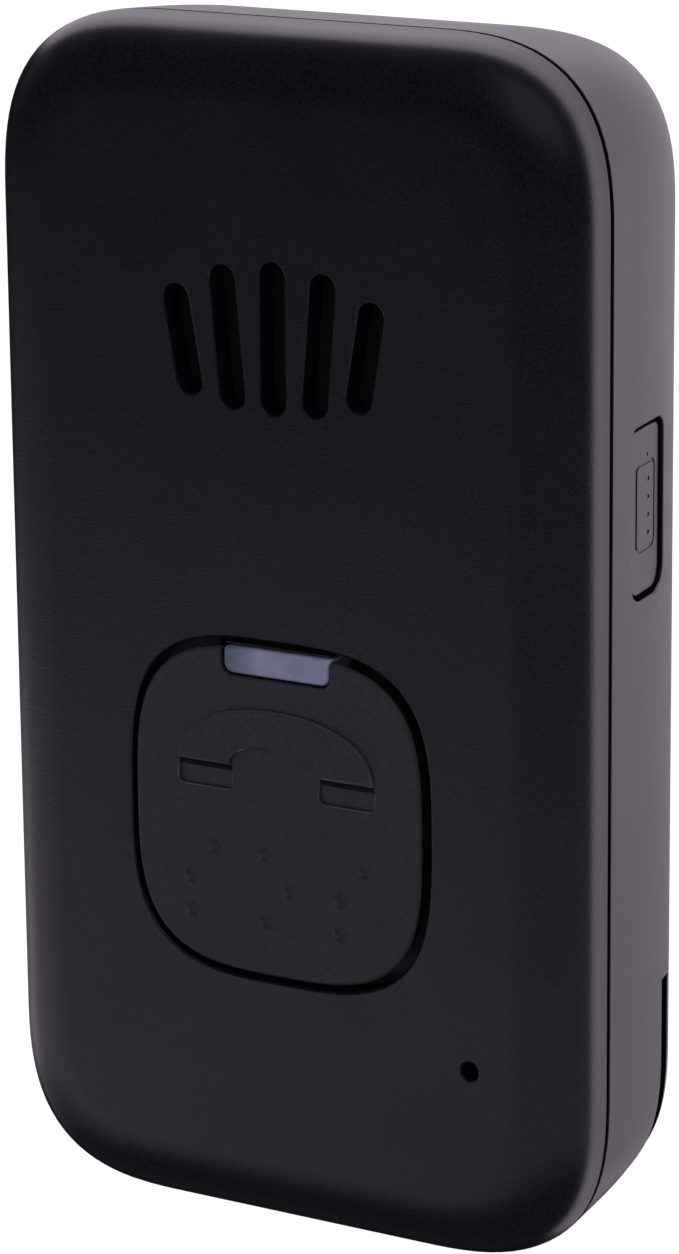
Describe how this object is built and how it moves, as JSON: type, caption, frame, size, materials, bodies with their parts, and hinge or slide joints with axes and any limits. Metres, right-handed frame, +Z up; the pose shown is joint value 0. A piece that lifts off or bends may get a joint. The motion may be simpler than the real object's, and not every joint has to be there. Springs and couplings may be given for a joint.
{
  "type": "medical alert pendant",
  "caption": "Slim rounded pendant with a large soft call button, fanned speaker slots, a status light bar, a side push button, a snap-off battery door and a lanyard bar in its back.",
  "frame": {"origin": "middle of the lanyard bar in the pocket of the back, where the pendant hangs", "axes": "+Z up along the pendant's height as it hangs, +X to the right seen from the front, the front face looks along -Y and the back face along +Y"},
  "size_m": [0.0466, 0.0176, 0.085],
  "materials": {
    "shell": "fine soft-touch grain",
    "button": "soft matte",
    "side_key": "fine soft-touch grain",
    "lens": "milky translucent",
    "led": "clear epoxy",
    "rubber": "matte",
    "steel": "satin",
    "speaker_steel": "satin",
    "contact_metal": "gold plated",
    "copper": "enamelled wire",
    "mesh": "fine woven mesh",
    "cone_film": "thin film",
    "board": "solder mask",
    "chip": "moulded",
    "switch_body": "moulded",
    "switch_plunger": "moulded",
    "cell_wrap": "shrink wrap"
  },
  "bodies": {
    "housing": {"front_shell": "shell", "rear_shell": "shell", "shell_seal": "rubber", "case_screws": "steel", "lanyard_bar": "steel", "battery_pack": "cell_wrap", "battery_contacts": "contact_metal", "call_switch": "switch_body", "side_switch": "switch_body", "status_lens": "lens", "status_leds": "led", "speaker_mesh": "mesh", "speaker_gasket": "rubber", "speaker_frame": "speaker_steel", "speaker_cone": "cone_film", "speaker_coil": "copper", "speaker_magnet": "steel", "speaker_contacts": "contact_metal", "mic_boot": "rubber", "mic_capsule": "steel", "main_board": "board", "board_screws": "steel", "shield_can": "steel", "radio_module": "chip", "processor": "chip", "antenna": "contact_metal"},
    "call_key": {"call_button": "button", "call_switch_plunger": "switch_plunger"},
    "side_key": {"side_button": "side_key", "side_switch_plunger": "switch_plunger"},
    "door": {"battery_door": "shell"}
  },
  "joints": [
    {"name": "call_press", "type": "slide", "parent": "housing", "child": "call_key", "axis": [0, 1, 0], "range_m": [0, 0.0004], "stiffness_N_per_m": 1000, "springref_m": -0.001},
    {"name": "side_press", "type": "slide", "parent": "housing", "child": "side_key", "axis": [-1, 0, 0], "range_m": [0, 0.00035], "stiffness_N_per_m": 1000, "springref_m": -0.001},
    {"name": "door_lift", "type": "slide", "parent": "housing", "child": "door", "axis": [0, 1, 0], "range_m": [0, 0.012]}
  ]
}
